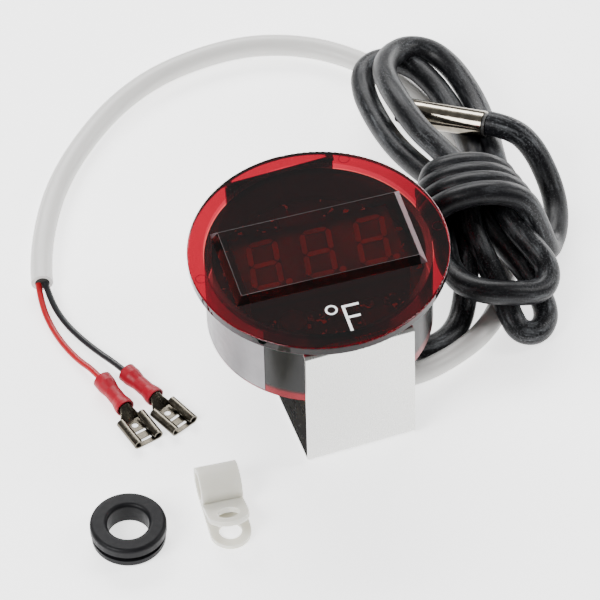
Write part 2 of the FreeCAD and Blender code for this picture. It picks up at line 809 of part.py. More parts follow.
def receptacle():
    """The tab, a tapering neck and the crimp barrel that runs back into the sleeve."""
    level = mm("sleeve_radius")
    joint_x = mm("sleeve_length")
    far_x = joint_x + mm("neck_length")
    along = Vector(1, 0, 0)
    tab = curled_tab()
    tab.translate(Vector(far_x, 0, 0))
    crimp_at = Vector(joint_x - mm("crimp_length"), 0, level)
    crimp = Part.makeCylinder(mm("crimp_radius"), mm("crimp_length"), crimp_at, along)
    joint = Part.Circle(Vector(joint_x, 0, level), along, mm("crimp_radius"))
    half = mm("tab_half") - mm("tab_curl")
    thick = mm("tab_sheet")
    corners = [Vector(far_x, y, z) for y, z in
               ((-half, 0), (half, 0), (half, thick), (-half, thick))]
    lip = Part.makePolygon(corners + [corners[0]])
    neck = Part.makeLoft([Part.Wire(joint.toShape()), lip], True, True)
    return tab.fuse([crimp, neck]).removeSplitter()


def make_terminal(wire, at, angle):
    spot = Vector(*at, 0)
    yaw = FreeCAD.Rotation(Vector(0, 0, 1), angle)
    metal = solid_part(f"{wire}_receptacle", receptacle())
    metal.Placement = FreeCAD.Placement(spot, yaw)
    body = new_body(f"{wire}_sleeve")
    wall = size("sleeve_wall")
    wide = size("sleeve_radius")
    long = size("sleeve_length")
    grip = size("crimp_radius") + size("thread_slip")
    waist = grip + wall
    turn(body, f"{wire}_tube", [
        (wide - wall, 0.0), (wide, 0.0), (wide, long * 0.2), (waist, long * 0.42),
        (waist, long * 0.72), (wide, long * 0.9), (wide, long), (wide - wall, long),
        (grip, long * 0.7), (grip, long * 0.42), (wide - wall, long * 0.2)])
    lay = FreeCAD.Rotation(Vector(0, 1, 0), 90)
    body.Placement = FreeCAD.Placement(spot + Vector(0, 0, wide.value), yaw.multiply(lay))


# ---------------------------------------------------------------- sensor
def make_sensor():
    """A closed metal capsule, its potting and the bead, built along +Z from the closed end."""
    radius = size("capsule_radius")
    bore = radius - size("capsule_wall")
    long = size("capsule_length")
    along = (SENSOR_MOUTH - SENSOR_TIP).normalize()
    aim = FreeCAD.Rotation(Vector(0, 0, 1), along)
    spot = SENSOR_MOUTH - along * (long.value + mm("seal_outside"))
    capsule = new_body("sensor_capsule")
    end = size("capsule_end")
    corner = size("capsule_round")
    turn(capsule, "capsule_tube", [
        (0.0, 0.0), (radius - end, 0.0), (radius - corner, corner), (radius, end),
        (radius, long), (bore, long), (bore, end), (0.0, end)])
    seal = new_body("sensor_seal")
    plug = bore - size("thread_slip")
    low = long - size("seal_inside")
    turn(seal, "seal_plug", [
        (0.0, low), (plug, low), (plug, long + size("seal_outside") * 0.4),
        (size("probe_cord") / 2 - size("slip"), long + size("seal_outside")),
        (0.0, long + size("seal_outside"))])
    bead = doc.addObject("Part::Sphere", "bead")
    bind(bead, "Radius", size("bead_radius"))
    keep(bead, "thermistor_bead")
    for item, lift_by in ((capsule, 0.0), (seal, 0.0), (bead, low.value - mm("bead_radius"))):
        item.Placement = FreeCAD.Placement(spot + along * lift_by, aim)


# ---------------------------------------------------------------- loose fittings
def make_grommet():
    body = new_body("panel_grommet")
    outer = size("grommet_radius")
    bore = size("grommet_bore")
    groove = size("grommet_groove")
    foot = size("grommet_foot")
    upper = foot + size("grommet_slot")
    top = upper + size("grommet_top")
    lower = outer - size("grommet_step")
    turn(body, "grommet_ring", [
        (bore, 0.0), (lower, 0.0), (lower, foot), (groove, foot), (groove, upper),
        (outer, upper), (outer, top), (bore, top)])

    def rims(edge):
        level = edge.BoundBox.Center.z
        at_rim = min(abs(level), abs(level - top.value)) < 1e-6
        return isinstance(edge.Curve, Part.Circle) and at_rim

    round_edges(body, "grommet_rims", size("grommet_round"), rims)
    place(body, GROMMET_AT[0], GROMMET_AT[1], 0.0)


def clip_ear(length, thick, wide, hole):
    """A strap along -Y from the origin, round at its far end, with a screw hole there."""
    half = wide / 2
    strap = Part.makeBox(wide, length - half, thick, Vector(-half, half - length, 0))
    end = Part.makeCylinder(half, thick, Vector(0, half - length, 0))
    drill = Part.makeCylinder(hole, thick * 3, Vector(0, half - length, -thick))
    return strap.fuse(end).cut(drill)


def make_cable_clip():
    """A loop clamp lying on one ear, its other ear sprung up."""
    thick = mm("clip_sheet")
    wide = mm("clip_width")
    inner = mm("clip_loop")
    outer = inner + thick
    reach = mm("clip_reach")
    slit_tall = mm("clip_slit")
    cross = Vector(1, 0, 0)
    lower = clip_ear(reach, thick, wide, mm("clip_hole"))
    lower.translate(Vector(0, reach, 0))
    loop_at = Vector(-wide / 2, reach, outer)
    loop = Part.makeCylinder(outer, wide, loop_at, cross).cut(
        Part.makeCylinder(inner, wide, loop_at, cross))
    upper = clip_ear(reach - outer, thick, wide, mm("clip_hole"))
    upper.rotate(Vector(0, 0, 0), cross, -mm("clip_open"))
    upper.translate(Vector(0, reach - outer * 0.9, thick + slit_tall))
    slit = Part.makeBox(wide * 2, reach - outer * 0.45, slit_tall, Vector(-wide, 0, thick))
    piece = solid_part("cable_clip", lower.fuse([loop, upper]).cut(slit).removeSplitter())
    piece.Placement = FreeCAD.Placement(
        Vector(*CLIP_AT, 0), FreeCAD.Rotation(Vector(0, 0, 1), CLIP_TURN))


# ---------------------------------------------------------------- build, check and write
def check_document():
    for item in doc.Objects:
        for state in ("Invalid", "Error"):
            if state in item.State:
                raise RuntimeError(f"{item.Name} is {item.State}")
    for item in made:
        if item.Shape.isNull() or not item.Shape.isValid() or not item.Shape.Solids:
            raise RuntimeError(f"{item.Label} has no sound solid")


def write_parts():
    os.makedirs("parts", exist_ok=True)
    for item in made:
        item.Shape.exportStep(f"parts/{item.Label}.step")
        print(f"{item.Label}: {len(item.Shape.Solids)} solids, {item.Shape.Volume:.1f} mm3")


make_lens_housing()
make_side_label()
make_display()
make_circuit_board()
make_board_parts()
make_rear_cover()
make_gland("power")
make_gland("probe")
make_solder_tails()
make_clamp()
make_bracket()
make_cords()
make_terminal("red_wire", RED_END_AT, RED_END_TURN)
make_terminal("black_wire", BLACK_END_AT, BLACK_END_TURN)
make_sensor()
make_grommet()
make_cable_clip()
doc.recompute()
check_document()
write_parts()
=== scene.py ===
# %% [markdown]
# # A round panel thermometer with its cords and loose fittings
# This is a gauge for a vehicle's dashboard or a cold store's door. A red head shows the temperature,
# a white lead brings its supply, and a black lead carries the probe. The solid pieces come from a
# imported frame, in metres, and are never moved. Here they get their finishes, the cords become smooth
# curves, and a few thin details are added that a solid model leaves out.

# %% Load the frame
import math
import bmesh
import bpy
from mathutils import Matrix, Vector


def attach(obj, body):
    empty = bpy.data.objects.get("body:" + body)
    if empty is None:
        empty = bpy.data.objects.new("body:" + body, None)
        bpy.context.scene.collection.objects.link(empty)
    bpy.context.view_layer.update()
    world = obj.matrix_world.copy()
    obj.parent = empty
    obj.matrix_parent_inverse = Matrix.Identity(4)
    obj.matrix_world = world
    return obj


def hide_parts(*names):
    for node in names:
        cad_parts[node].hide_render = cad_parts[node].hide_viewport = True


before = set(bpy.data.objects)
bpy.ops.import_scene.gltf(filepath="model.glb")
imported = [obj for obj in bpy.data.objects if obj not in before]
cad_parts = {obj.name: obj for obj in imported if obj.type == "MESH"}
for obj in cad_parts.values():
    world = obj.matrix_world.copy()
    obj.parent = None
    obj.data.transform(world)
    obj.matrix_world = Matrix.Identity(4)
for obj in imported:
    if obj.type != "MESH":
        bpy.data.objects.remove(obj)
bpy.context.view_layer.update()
MM = 0.001


def metres(points):
    """Points written in millimetres, as vectors in metres."""
    return [Vector(point) * MM for point in points]


# %% [markdown]
# ## The camera
# A long lens far away keeps the round face a clean ellipse. A short lens close by would make the
# near fittings look too large. The camera stands in front and a little to the left, and is rolled
# slightly. It could be placed by its coordinates, but working its place out from the two angles
# lets the numbers say what they mean.

# %% Camera
VIEW_AZIMUTH = math.radians(-14.969)
VIEW_ELEVATION = math.radians(49.053)
VIEW_ROLL = math.radians(-1.685)
VIEW_TARGET = Vector((-8.346, -13.651, 39.0)) * MM
VIEW_DISTANCE = 1.5
VIEW_LENS = 398.7
SENSOR_WIDTH = 36.0

back = Vector((math.sin(VIEW_AZIMUTH) * math.cos(VIEW_ELEVATION),
               -math.cos(VIEW_AZIMUTH) * math.cos(VIEW_ELEVATION), math.sin(VIEW_ELEVATION)))
level = Vector((math.cos(VIEW_AZIMUTH), math.sin(VIEW_AZIMUTH), 0.0))
upright = back.cross(level)
across = level * math.cos(VIEW_ROLL) + upright * math.sin(VIEW_ROLL)
above = upright * math.cos(VIEW_ROLL) - level * math.sin(VIEW_ROLL)
camera = bpy.data.objects.new("camera", bpy.data.cameras.new("camera"))
camera.data.lens = VIEW_LENS
camera.data.sensor_width = SENSOR_WIDTH
turned = Matrix((across, above, back)).transposed().to_4x4()
camera.matrix_world = Matrix.Translation(VIEW_TARGET + back * VIEW_DISTANCE) @ turned
bpy.context.scene.collection.objects.link(camera)
bpy.context.scene.camera = camera
print("camera stands at", [round(x, 3) for x in camera.matrix_world.translation])

# %% [markdown]
# ## The routes of the cords
# Each cord is one smooth spline. A chain of straight and round tubes would also give the length,
# but its joints would show as kinks. A spline's control points pull the line towards themselves
# without being touched by it, except at the two ends. Nearly all of them are the points that the
# plain tubes of the frame follow, so the curve lies in the space that the tube holds. The thickness
# is set on the points, with a bevel of one metre, because Blender counts a point's radius when it
# works out the box round a curve.

# %% Cord maker
CORD_STEPS = 10
CORD_SIDES = 8
CORD_BEVEL = 1.0


def cord_curve(name, points, diameter):
    """A round cord along a NURBS spline with these control points."""
    curve = bpy.data.curves.new(name, "CURVE")
    curve.dimensions = "3D"
    curve.resolution_u = CORD_STEPS
    curve.bevel_depth = CORD_BEVEL
    curve.bevel_resolution = CORD_SIDES
    curve.use_fill_caps = True
    spline = curve.splines.new("NURBS")
    spline.points.add(len(points) - 1)
    for spot, point in zip(spline.points, points):
        spot.co = (*point, 1.0)
        spot.radius = diameter / 2
    spline.order_u = 3
    spline.use_endpoint_u = True
    item = bpy.data.objects.new(name, curve)
    bpy.context.scene.collection.objects.link(item)
    return item


def centreline(item):
    """The points of a cord's own line, read with its thickness taken away."""
    item.data.bevel_depth = 0.0
    line = bpy.data.meshes.new_from_object(item)
    spots = [vertex.co.copy() for vertex in line.vertices]
    bpy.data.meshes.remove(line)
    item.data.bevel_depth = CORD_BEVEL
    return spots


def cord_length(item):
    """How long a cord's own line is, in metres."""
    spots = centreline(item)
    return sum((b - a).length for a, b in zip(spots, spots[1:]))


print("cord maker ready")

# %% [markdown]
# ## The white supply lead
# The lead drops out of its gland under the head, turns along the bench, passes below the hank
# and goes round the back in one wide bow. It is stiff, so it needs few points, far apart, and the
# spline keeps the bow even. Its jacket is stripped at the end.

# %% Supply lead
SUPPLY_DIAMETER = 5.2 * MM
supply_route = metres([
    (6.0, -13.0, 13.0), (6.6, -13.3, 8.8), (10.6, -14.4, 5.8), (16.2, -14.7, 4.9),
    (22.4, -13.2, 3.9), (29.2, -9.9, 2.7), (36.5, -6.2, 2.6), (43.4, 0.4, 2.6),
    (48.6, 11.5, 2.6), (51.5, 26.0, 2.6), (51.2, 40.5, 2.6), (48.6, 55.0, 2.6),
    (44.5, 70.5, 2.6), (36.5, 84.5, 2.6), (23.0, 95.3, 2.6), (5.0, 99.6, 2.6),
    (-20.0, 94.0, 2.6), (-42.5, 73.5, 2.6), (-54.3, 50.5, 2.6), (-56.3, 39.7, 2.6),
])
supply_lead = cord_curve("supply_lead", supply_route, SUPPLY_DIAMETER)
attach(supply_lead, "head")
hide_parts("power_cable")
print("supply lead:", round(cord_length(supply_lead) / MM, 1), "mm")

# %% [markdown]
# ## The red and black wires
# Two thin wires leave the stripped jacket side by side and part a little before their terminals.
# They differ only in route and colour, so one loop makes both. Each carries its terminal and its
# sleeve, which stay solids of the frame.

# %% Wires
WIRE_DIAMETER = 1.5 * MM
red_route = metres([
    (-57.2, 39.9, 2.4), (-57.9, 34.6, 1.5), (-57.5, 28.0, 0.8), (-56.2, 21.6, 0.8),
    (-54.0, 15.6, 0.9), (-51.6, 10.7, 2.0), (-49.92, 5.09, 2.3),
])
black_route = metres([
    (-55.6, 39.5, 2.6), (-55.6, 34.3, 1.7), (-54.2, 28.2, 0.8), (-51.9, 22.4, 0.8),
    (-49.0, 16.8, 0.9), (-46.2, 11.2, 2.0), (-43.62, 5.72, 2.3),
])
wires = {}
for colour, route in (("red", red_route), ("black", black_route)):
    wire = cord_curve(f"{colour}_lead_wire", route, WIRE_DIAMETER)
    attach(wire, "head")
    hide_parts(f"{colour}_wire")
    wires[colour] = wire
    print(colour, "wire:", round(cord_length(wire) / MM, 1), "mm")

# %% [markdown]
# ## The mouth of the jacket
# Where the jacket is cut, the filler round the two wires sits in shade and shows as a dark disc. A
# hole in the curve would need its own mesh, so a short dark plug that stands in the mouth paints
# that shade with less.

# %% Jacket mouth
CORE_RADIUS = 1.7 * MM
CORE_DEPTH = 0.3 * MM


def end_plug(name, place, towards, radius, depth):
    """A short round plug with its middle at this place, facing this way."""
    shape = bmesh.new()
    bmesh.ops.create_cone(shape, cap_ends=True, segments=40, radius1=radius, radius2=radius,
                          depth=depth)
    turned = towards.to_track_quat("Z", "Y").to_matrix().to_4x4()
    bmesh.ops.transform(shape, matrix=Matrix.Translation(place) @ turned, verts=shape.verts)
    mesh = bpy.data.meshes.new(name)
    shape.to_mesh(mesh)
    shape.free()
    for face in mesh.polygons:
        face.use_smooth = len(face.vertices) == 4
    piece = bpy.data.objects.new(name, mesh)
    bpy.context.scene.collection.objects.link(piece)
    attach(piece, "head")
    return piece


jacket_core = end_plug("jacket_core", supply_route[-1], supply_route[-1] - supply_route[-2],
                       CORE_RADIUS, CORE_DEPTH)
print("the stripped end shows the filler inside the jacket")

# %% [markdown]
# ## The probe cord and its hank
# The black cord is much longer than the space it needs, so it is folded into loops and the loops
# are wrapped round the middle. It is still one cord from the gland to the metal tip, so it is one
# spline. The wraps are nearly regular, so a loop works them out: half a turn over the loops and
# half a turn under for each, a little smaller towards the back.

# %% Wraps of the hank
PROBE_DIAMETER = 5.8 * MM
WRAP_CENTRE = (43.8, 16.7)
WRAP_HALF = (11.4, 8.3)
WRAP_STEPS = 6
WRAP_TOPS = (28.8, 25.0, 21.2, 16.8)
WRAP_LIFT = (-2.2, -1.4, -0.5, 0.7)
WRAP_SLANT = 2.8
CORNER_REACH = 1.0 / math.cos(math.pi / (4 * WRAP_STEPS))


def wrap_points():
    """Half a turn over and half a turn under for each wrap, from the left to the right."""
    stations = []
    for top, lift in zip(WRAP_TOPS, WRAP_LIFT):
        stations += [(top + WRAP_SLANT, lift), (top - WRAP_SLANT, lift)]
    points = []
    for half_turn, (start, end) in enumerate(zip(stations, stations[1:])):
        for step in range(WRAP_STEPS):
            share = step / WRAP_STEPS
            angle = math.pi * (1.0 - half_turn - share)
            depth = start[0] + (end[0] - start[0]) * share
            lift = start[1] + (end[1] - start[1]) * share
            points.append((WRAP_CENTRE[0] + (WRAP_HALF[0] + lift) * CORNER_REACH * math.cos(angle),
                           depth,
                           WRAP_CENTRE[1] + (WRAP_HALF[1] + lift) * CORNER_REACH * math.sin(angle)))
    return points


print("wraps take", len(wrap_points()), "control points")

# %% [markdown]
# ## The loops of the hank
# The loops differ in size and fan out where nothing ties them, so no formula fits them. Their
# points are listed one by one, in the order in which the cord runs: in from the gland, two long
# loops to the back with a short fold in front of each, the wraps, and out to the metal tip.

# %% Probe cord
lead_in = [(10.5, -3.0, 13.0), (11.4, -3.6, 8.6), (15.2, -5.8, 5.6), (20.6, -7.6, 4.6),
           (27.0, -6.8, 3.6), (32.8, -2.0, 3.1), (36.2, 4.0, 5.2), (38.2, 9.6, 8.8)]
low_loop = [(40.6, 16.0, 12.4), (41.4, 23.5, 13.6), (39.6, 32.0, 13.0), (36.0, 41.0, 11.3),
            (33.0, 51.0, 9.6), (31.5, 61.5, 8.8), (31.2, 71.0, 8.6), (33.6, 78.0, 8.4),
            (39.4, 79.8, 8.2), (44.6, 76.4, 8.0), (47.8, 70.0, 7.8), (49.6, 62.0, 7.6),
            (50.4, 53.5, 7.6), (50.2, 45.0, 9.4), (48.6, 36.5, 12.4), (46.0, 28.0, 13.6)]
low_bight = [(45.4, 21.0, 12.8), (48.2, 14.0, 10.2), (51.4, 7.2, 7.2), (53.2, 1.2, 4.8),
             (53.4, -5.2, 3.0), (49.6, -9.6, 2.95), (45.4, -8.2, 3.4), (44.2, -4.0, 6.4),
             (43.8, -0.8, 8.8), (43.4, 4.2, 9.3), (42.4, 10.2, 11.6), (41.4, 16.4, 14.8)]
high_loop = [(42.6, 23.8, 18.2), (43.2, 31.0, 19.2), (40.6, 38.5, 18.9), (37.4, 46.0, 19.2),
             (35.8, 54.5, 19.4), (35.2, 63.0, 17.8), (36.2, 70.4, 15.2), (39.8, 76.4, 12.8),
             (45.2, 79.4, 10.8), (50.6, 77.6, 9.4), (53.8, 72.0, 8.4), (55.4, 64.6, 7.9),
             (56.0, 56.8, 7.8), (55.5, 48.4, 8.2), (54.2, 40.0, 10.2), (52.8, 32.0, 13.2)]
front_bight = [(51.2, 25.0, 15.4), (50.2, 18.6, 16.2), (51.0, 12.8, 15.4), (53.8, 7.4, 13.2),
               (55.8, 2.2, 11.4), (54.0, -2.4, 10.6), (50.0, -4.4, 11.2), (44.0, -4.3, 13.4),
               (38.4, -3.0, 14.2), (34.6, 1.6, 13.4), (33.4, 7.6, 12.6), (34.2, 13.6, 12.6),
               (35.8, 19.8, 12.8), (34.9, 28.6, 12.6)]
hook = [(57.0, 13.2, 12.6), (58.4, 11.6, 6.4)]
tail_out = [(60.6, 15.2, 3.4), (63.6, 20.4, 3.0), (65.7, 27.2, 3.3),
            (65.8, 33.8, 5.8), (63.8, 39.2, 11.2), (59.9, 43.0, 15.2), (54.7, 46.3, 15.2)]
probe_route = metres(lead_in + low_loop + low_bight + high_loop + front_bight
                     + wrap_points()[1:] + hook + tail_out)
probe_cord = cord_curve("probe_cord", probe_route, PROBE_DIAMETER)
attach(probe_cord, "head")
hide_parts("probe_lead", "probe_hank", "probe_tail")
PROBE_LENGTH = cord_length(probe_cord)
print("probe cord:", round(PROBE_LENGTH / MM, 1), "mm in", len(probe_route), "control points")

# %% [markdown]
# ## Bench and light
# The bench is a plain pale sheet, and the light is soft: a bright sky, one wide panel high on the
# left, one from behind and a narrow one from the right that draws the streaks on rubber and metal.
# A low panel lights the probe tip, and a weak one overhead shows in the window's bevels. Single
# lamps would be simpler, but they throw hard shadows and small hard glints.

# %% Bench
BENCH_SIZE = 6.0
BENCH_DROP = 0.2 * MM
SKY_STRENGTH = 0.25
LIGHT_TARGET = Vector((0.0, 0.02, 0.02))
bench_mesh = bpy.data.meshes.new("bench")
half = BENCH_SIZE / 2
bench_mesh.from_pydata([(-half, -half, 0), (half, -half, 0), (half, half, 0), (-half, half, 0)],
                       [], [(0, 1, 2, 3)])
bench = bpy.data.objects.new("bench", bench_mesh)
bench.location.z = -BENCH_DROP
bpy.context.scene.collection.objects.link(bench)

world = bpy.data.worlds.new("studio")
world.use_nodes = True
sky = world.node_tree.nodes["Background"]
sky.inputs["Color"].default_value = (1.0, 1.0, 1.0, 1.0)
sky.inputs["Strength"].default_value = SKY_STRENGTH
bpy.context.scene.world = world


def soft_panel(name, place, size, power):
    """A rectangular light that faces the object; lengths in metres and power in watts."""
    light = bpy.data.lights.new(name, "AREA")
    light.shape = "RECTANGLE"
    light.size, light.size_y = size
    light.energy = power
    item = bpy.data.objects.new(name, light)
    item.location = place
    item.rotation_euler = (LIGHT_TARGET - Vector(place)).to_track_quat("-Z", "Y").to_euler()
    bpy.context.scene.collection.objects.link(item)


soft_panel("panel_left", (-0.75, -0.35, 0.75), (0.5, 0.6), 16.0)
soft_panel("panel_back", (0.1, 0.95, 0.75), (1.1, 0.4), 22.0)
soft_panel("panel_right", (0.85, -0.1, 0.55), (0.25, 0.6), 6.0)
soft_panel("panel_low", (0.80, 0.66, 0.10), (0.5, 0.22), 5.0)
soft_panel("panel_top", (0.22, 0.80, 1.02), (0.9, 0.5), 0.8)
print("bench and five panels are in place")

# %% [markdown]
# ## Writing shaders as sums
# A finish is a small formula: a colour, made dirtier where a noise is high, or a gloss that is lower
# in a streak. Nodes can be placed and linked one by one, but then the formula is hard to see.
# Wrapping a node's output in a class that understands + and * lets it be written as one, and
# every other node comes from one method. Two patterns come back in nearly every finish, so they
# have names of their own: tones for the colour, and sheen for the roughness.

# %% Shader kit
class Signal:
    """One output of a node, in one finish's tree."""

    def __init__(self, finish, output):
        self.finish = finish
        self.output = output

    def __add__(self, other):
        return self.finish.maths("ADD", self, other)

    def __radd__(self, other):
        return self.finish.maths("ADD", other, self)

    def __sub__(self, other):
        return self.finish.maths("SUBTRACT", self, other)

    def __rsub__(self, other):
        return self.finish.maths("SUBTRACT", other, self)

    def __mul__(self, other):
        return self.finish.maths("MULTIPLY", self, other)

    def __rmul__(self, other):
        return self.finish.maths("MULTIPLY", other, self)

    def __pow__(self, other):
        return self.finish.maths("POWER", self, other)


class Finish:
    """A material with one Principled shader, built node by node."""

    def __init__(self, name, **fixed):
        self.material = bpy.data.materials.new(name)
        self.material.use_nodes = True
        self.tree = self.material.node_tree
        self.shader = self.tree.nodes["Principled BSDF"]
        self.where = self.node("ShaderNodeTexCoord", {}, {}, "Object")
        for socket, value in fixed.items():
            self.set(socket.replace("_", " "), value)

    def node(self, kind, settings, inputs, output):
        """A node of this kind: its settings, then its inputs, and the output to read."""
        made = self.tree.nodes.new(kind)
        for key, value in settings.items():
            if key == "stops":
                while len(made.color_ramp.elements) < len(value):
                    made.color_ramp.elements.new(0.5)
                for element, (place, colour) in zip(made.color_ramp.elements, value):
                    element.position = place
                    element.color = (*colour, 1.0)
            else:
                setattr(made, key, value)
        for key, value in inputs.items():
            self.feed(made.inputs[key], value)
        return Signal(self, made.outputs[output])

    def feed(self, socket, value):
        """Links a signal to this socket, or writes a fixed value in it."""
        if isinstance(value, Signal):
            self.tree.links.new(value.output, socket)
        elif isinstance(value, tuple) and socket.type == "RGBA":
            socket.default_value = (*value, 1.0)
        else:
            socket.default_value = value

    def set(self, socket, value):
        """A fixed value, or a signal, on one of the shader's own sockets."""
        self.feed(self.shader.inputs[socket], value)
        return self

    def maths(self, operation, first, second):
        """One Math node, for the operators of Signal."""
        return self.node("ShaderNodeMath", {"operation": operation}, {0: first, 1: second},
                         "Value")

    def noise(self, scale, detail=4.0, roughness=0.55, where=None):
        """Cloudy noise from 0 to 1; scale is in features per metre."""
        return self.node("ShaderNodeTexNoise", {}, {
            "Vector": where or self.where, "Scale": scale, "Detail": detail,
            "Roughness": roughness}, "Fac")

    def stretched(self, factors, where=None):
        """Coordinates multiplied axis by axis: the object's own, if no others are given."""
        return self.node("ShaderNodeVectorMath", {"operation": "MULTIPLY"},
                         {0: where or self.where, 1: factors}, "Vector")

    def along(self, axis):
        """The object's own coordinate on one axis, in metres."""
        return self.node("ShaderNodeSeparateXYZ", {}, {"Vector": self.where}, axis)

    def span(self, signal, low, high, to_low=0.0, to_high=1.0):
        """Signal from low..high, moved to to_low..to_high, and kept inside."""
        return self.node("ShaderNodeMapRange", {"clamp": True, "interpolation_type": "SMOOTHSTEP"},
                         {"Value": signal, "From Min": low, "From Max": high,
                          "To Min": to_low, "To Max": to_high}, "Result")

    def mix(self, share, first, second):
        """The first colour where share is 0 and the second where it is 1."""
        return self.node("ShaderNodeMix", {"data_type": "RGBA"},
                         {0: share, 6: first, 7: second}, 2)

    def tones(self, scale, first, second, detail=4.0):
        """A base colour that drifts between two close tones."""
        return self.set("Base Color", self.mix(self.noise(scale, detail), first, second))

    def sheen(self, scale, smooth, rough):
        """A roughness that drifts between two values."""
        return self.set("Roughness", self.span(self.noise(scale), 0.3, 0.7, smooth, rough))

    def bump(self, height, distance, strength=1.0):
        """Fine relief of this depth in metres, in the shader's normal only."""
        return self.set("Normal", self.node("ShaderNodeBump", {}, {
            "Height": height, "Distance": distance, "Strength": strength}, "Normal"))


print("shader kit ready")

# %% [markdown]
# ## The paper on the bench
# A matt white sheet takes up some light even when it is well lit, and then reads as grey. A little
# glow of its own keeps it near white and leaves the soft shadows, which more lamps would wash out.

# %% Bench paper
paper = Finish("bench_paper", Roughness=0.9, Emission_Strength=1.8)
paper.tones(6.0, (0.93, 0.93, 0.93), (0.96, 0.96, 0.96))
paper.set("Emission Color", (1.0, 1.0, 1.0))
bench.data.materials.append(paper.material)
print("bench paper ready")

# %% [markdown]
# ## Tinted clear plastic
# The housing is moulded in clear red. Light goes in, crosses the wall and comes out tinted, so the
# flange glows where the pale bench is behind it and goes dark over the cords. The shader's own
# transmission does that, and a volume inside the wall would too, but far more slowly. Light that
# crosses the wall many times would come out too bright, so masks by height and by radius give
# each part of the housing its own depth of red. A faint haze in the roughness keeps the face
# from looking like glass. The window's bevels get painted shade in a near-black red, and the two
# that face away from the camera get a painted pale glint instead. Near the foot the wall's tint is
# painted lighter, and a painted highlight, a bright and partly metallic red band, runs round it.

# %% Housing finish
def dress(node, finish):
    """Gives a node of the frame this finish in each of its slots."""
    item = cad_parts[node]
    for slot in item.material_slots:
        slot.material = finish.material
    if not item.material_slots:
        item.data.materials.append(finish.material)


BODY_RADIUS = 26.0 * MM
BODY_FOOT = 16.0 * MM
FACE_UNDER = 36.5 * MM
FACE_TOP = 39.0 * MM
WINDOW_TOP = 40.7 * MM
RIGHT_BEVEL = (20.9 * MM, 21.0 * MM)
REAR_BEVEL = (9.8 * MM, 9.9 * MM)

red_lens = Finish("clear_red_plastic", Transmission_Weight=1.0, IOR=1.32)
height = red_lens.along("Z")
from_axis = (red_lens.along("X") ** 2.0 + red_lens.along("Y") ** 2.0) ** 0.5
in_flange = red_lens.span(from_axis, BODY_RADIUS + 0.1 * MM, BODY_RADIUS + 0.4 * MM)
in_face = red_lens.span(height, FACE_UNDER - 0.4 * MM, FACE_UNDER)
# painted light: this mask marks the foot of the wall, where the wall tint is painted lighter
painted_foot_light_zone = red_lens.span(height, BODY_FOOT + 3.2 * MM, BODY_FOOT + 1.6 * MM)
on_bevel = (red_lens.span(height, FACE_TOP + 0.02 * MM, FACE_TOP + 0.05 * MM)
            * red_lens.span(height, WINDOW_TOP - 0.02 * MM, WINDOW_TOP - 0.05 * MM))
wall_tint = red_lens.mix(painted_foot_light_zone, (0.0006, 0.0002, 0.0002), (0.010, 0.0004, 0.0008))
face_tint = red_lens.mix(red_lens.noise(60.0), (0.36, 0.034, 0.034), (0.42, 0.044, 0.044))
# painted shade: the window's bevels are darkened to a near-black red
face_tint = red_lens.mix(on_bevel, face_tint, (0.012, 0.001, 0.001))
flange_tint = red_lens.mix(red_lens.noise(90.0), (0.19, 0.0008, 0.0080), (0.22, 0.0011, 0.010))
body_tint = red_lens.mix(in_face, wall_tint, face_tint)
tint = red_lens.mix(in_flange, body_tint, flange_tint)

# painted highlight: the right and rear bevels get a pale grey, partly metallic glint
right_bevel = on_bevel * red_lens.span(red_lens.along("X"), *RIGHT_BEVEL)
rear_bevel = on_bevel * red_lens.span(red_lens.along("Y"), *REAR_BEVEL)
painted_bevel_glint = right_bevel + rear_bevel
on_wall = red_lens.span(from_axis, BODY_RADIUS - 0.3 * MM, BODY_RADIUS - 0.1 * MM)
# painted highlight: a bright, partly metallic red band round the foot of the wall
painted_foot_highlight = painted_foot_light_zone * on_wall
satin = (1.0 - in_face) * 0.2
tint = red_lens.mix(painted_foot_highlight, tint, (0.26, 0.018, 0.026))
red_lens.set("Base Color", red_lens.mix(painted_bevel_glint, tint, (0.21, 0.16, 0.175)))
polish = red_lens.span(red_lens.noise(700.0, 6.0), 0.35, 0.8, 0.015, 0.05)
red_lens.set("Metallic", painted_bevel_glint * 0.75 + painted_foot_highlight * 0.6)
red_lens.set("Roughness", polish + painted_bevel_glint * 0.3 + satin)
red_lens.bump(red_lens.noise(55.0, 2.0), 0.00002, 0.2)
dress("lens_housing", red_lens)
print("housing finish ready")

# %% [markdown]
# ## Print and moulding marks on the face
# The degree sign and the letter are printed in white below the window. A text object would bring a
# typeface with it, so the two marks are drawn as flat outlines a hair above the face. Three faint
# rings on the flange are left by the pins that push the moulding out. A hair-thin grey line runs
# round the top of the window as a painted highlight on its edge. Each piece rides on the head.

# %% Print and marks
PRINT_LIFT = 0.03 * MM


def flat_piece(name, outlines, height, finish):
    """A flat face, or several, at this height; each outline is a list of x, y in millimetres."""
    mesh = bpy.data.meshes.new(name)
    shape = bmesh.new()
    for outline in outlines:
        corners = [shape.verts.new((x * MM, y * MM, height)) for x, y in outline]
        shape.faces.new(corners)
    shape.to_mesh(mesh)
    shape.free()
    mesh.materials.append(finish.material)
    piece = bpy.data.objects.new(name, mesh)
    bpy.context.scene.collection.objects.link(piece)
    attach(piece, "head")
    return piece


def ring_outlines(centre, inner, outer, sides=48):
    """A flat ring as four-sided pieces."""
    spots = [(math.cos(math.tau * i / sides), math.sin(math.tau * i / sides))
             for i in range(sides + 1)]
    across_x, across_y = centre
    return [[(across_x + a[0] * inner, across_y + a[1] * inner),
             (across_x + a[0] * outer, across_y + a[1] * outer),
             (across_x + b[0] * outer, across_y + b[1] * outer),
             (across_x + b[0] * inner, across_y + b[1] * inner)]
            for a, b in zip(spots, spots[1:])]


def box_outline(from_x, to_x, high_y, tall):
    """Four corners of an upright box, in millimetres."""
    return [(from_x, high_y), (from_x, high_y - tall), (to_x, high_y - tall), (to_x, high_y)]


